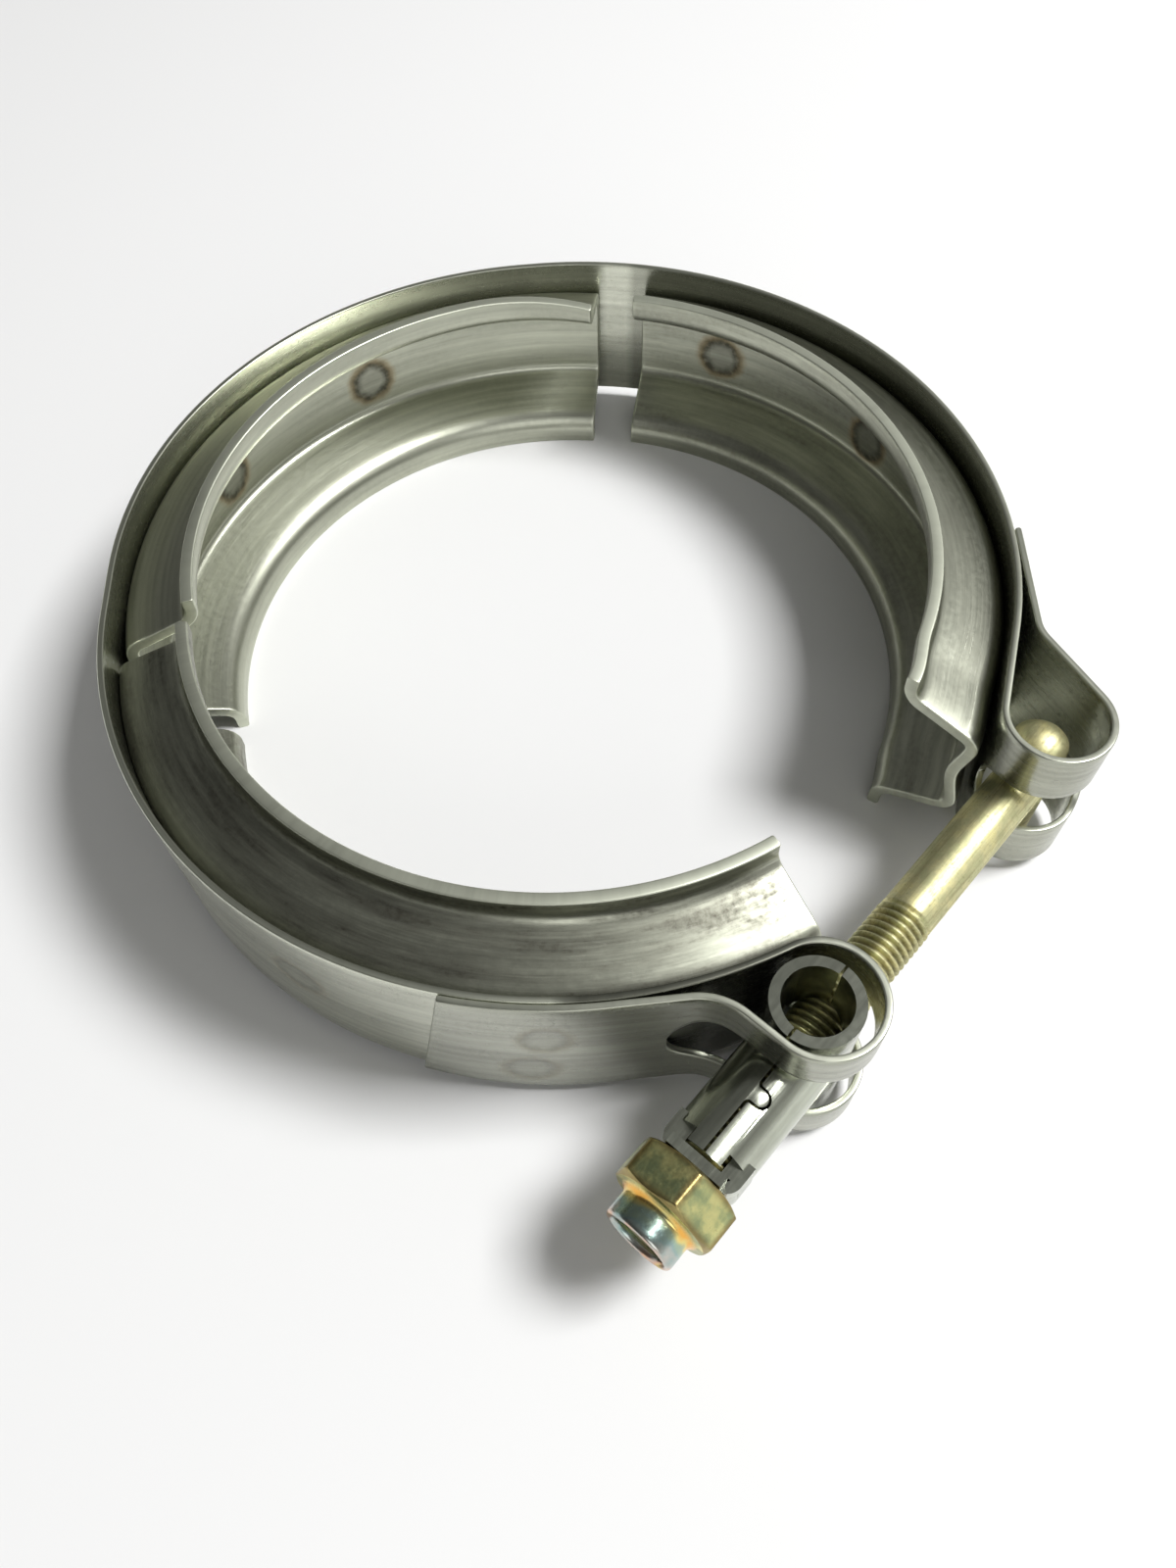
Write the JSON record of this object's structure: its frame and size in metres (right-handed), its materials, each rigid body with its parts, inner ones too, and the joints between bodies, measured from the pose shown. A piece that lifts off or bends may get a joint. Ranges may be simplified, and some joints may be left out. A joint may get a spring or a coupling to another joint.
{
  "type": "v-band clamp",
  "caption": "V-band clamp: a sprung strap with spot-welded V retainers, closed by a T-bolt, a swivelling trunnion and a collared locking nut.",
  "frame": {"origin": "centre of the V groove round the rear retainer, on the pipe's axis and halfway between the two flanges' outer faces", "axes": "+Z along the pipe; the T-bolt runs along -X from its head to the nut, on the -Y side; the rear retainer is on the +Y side"},
  "size_m": [0.1153, 0.122, 0.026],
  "materials": {
    "strap_steel": "cold-rolled stainless, satin with heat tints at the spot welds",
    "retainer_steel": "roll-formed stainless, satin with a circumferential grain",
    "bolt_steel": "bright stainless",
    "trunnion_steel": "pressed stainless, satin",
    "nut_plated": "yellow iridescent zinc plating"
  },
  "bodies": {
    "clamp_band": {"strap": "strap_steel", "retainer_rear": "retainer_steel", "retainer_right": "retainer_steel", "retainer_left": "retainer_steel"},
    "trunnion": {"trunnion": "trunnion_steel"},
    "t_bolt": {"t_bolt": "bolt_steel"},
    "nut": {"nut": "nut_plated"}
  },
  "joints": [
    {"name": "trunnion_swivel", "type": "hinge", "parent": "clamp_band", "child": "trunnion", "pos_m": [-0.02777, -0.06034, 0], "axis": [0, 0, 1], "range_deg": [-1.5, 0.9]},
    {"name": "nut_spin", "type": "hinge", "parent": "trunnion", "child": "nut", "pos_m": [-0.04637, -0.06034, 0], "axis": [1, 0, 0], "range_deg": [-1440, 0]},
    {"name": "bolt_draw", "type": "slide", "parent": "trunnion", "child": "t_bolt", "axis": [1, 0, 0], "range_m": [0, 0.00363]}
  ],
  "couplings": [
    {"joint": "nut_spin", "follows": "bolt_draw", "rad_per_m": -6926.3}
  ]
}
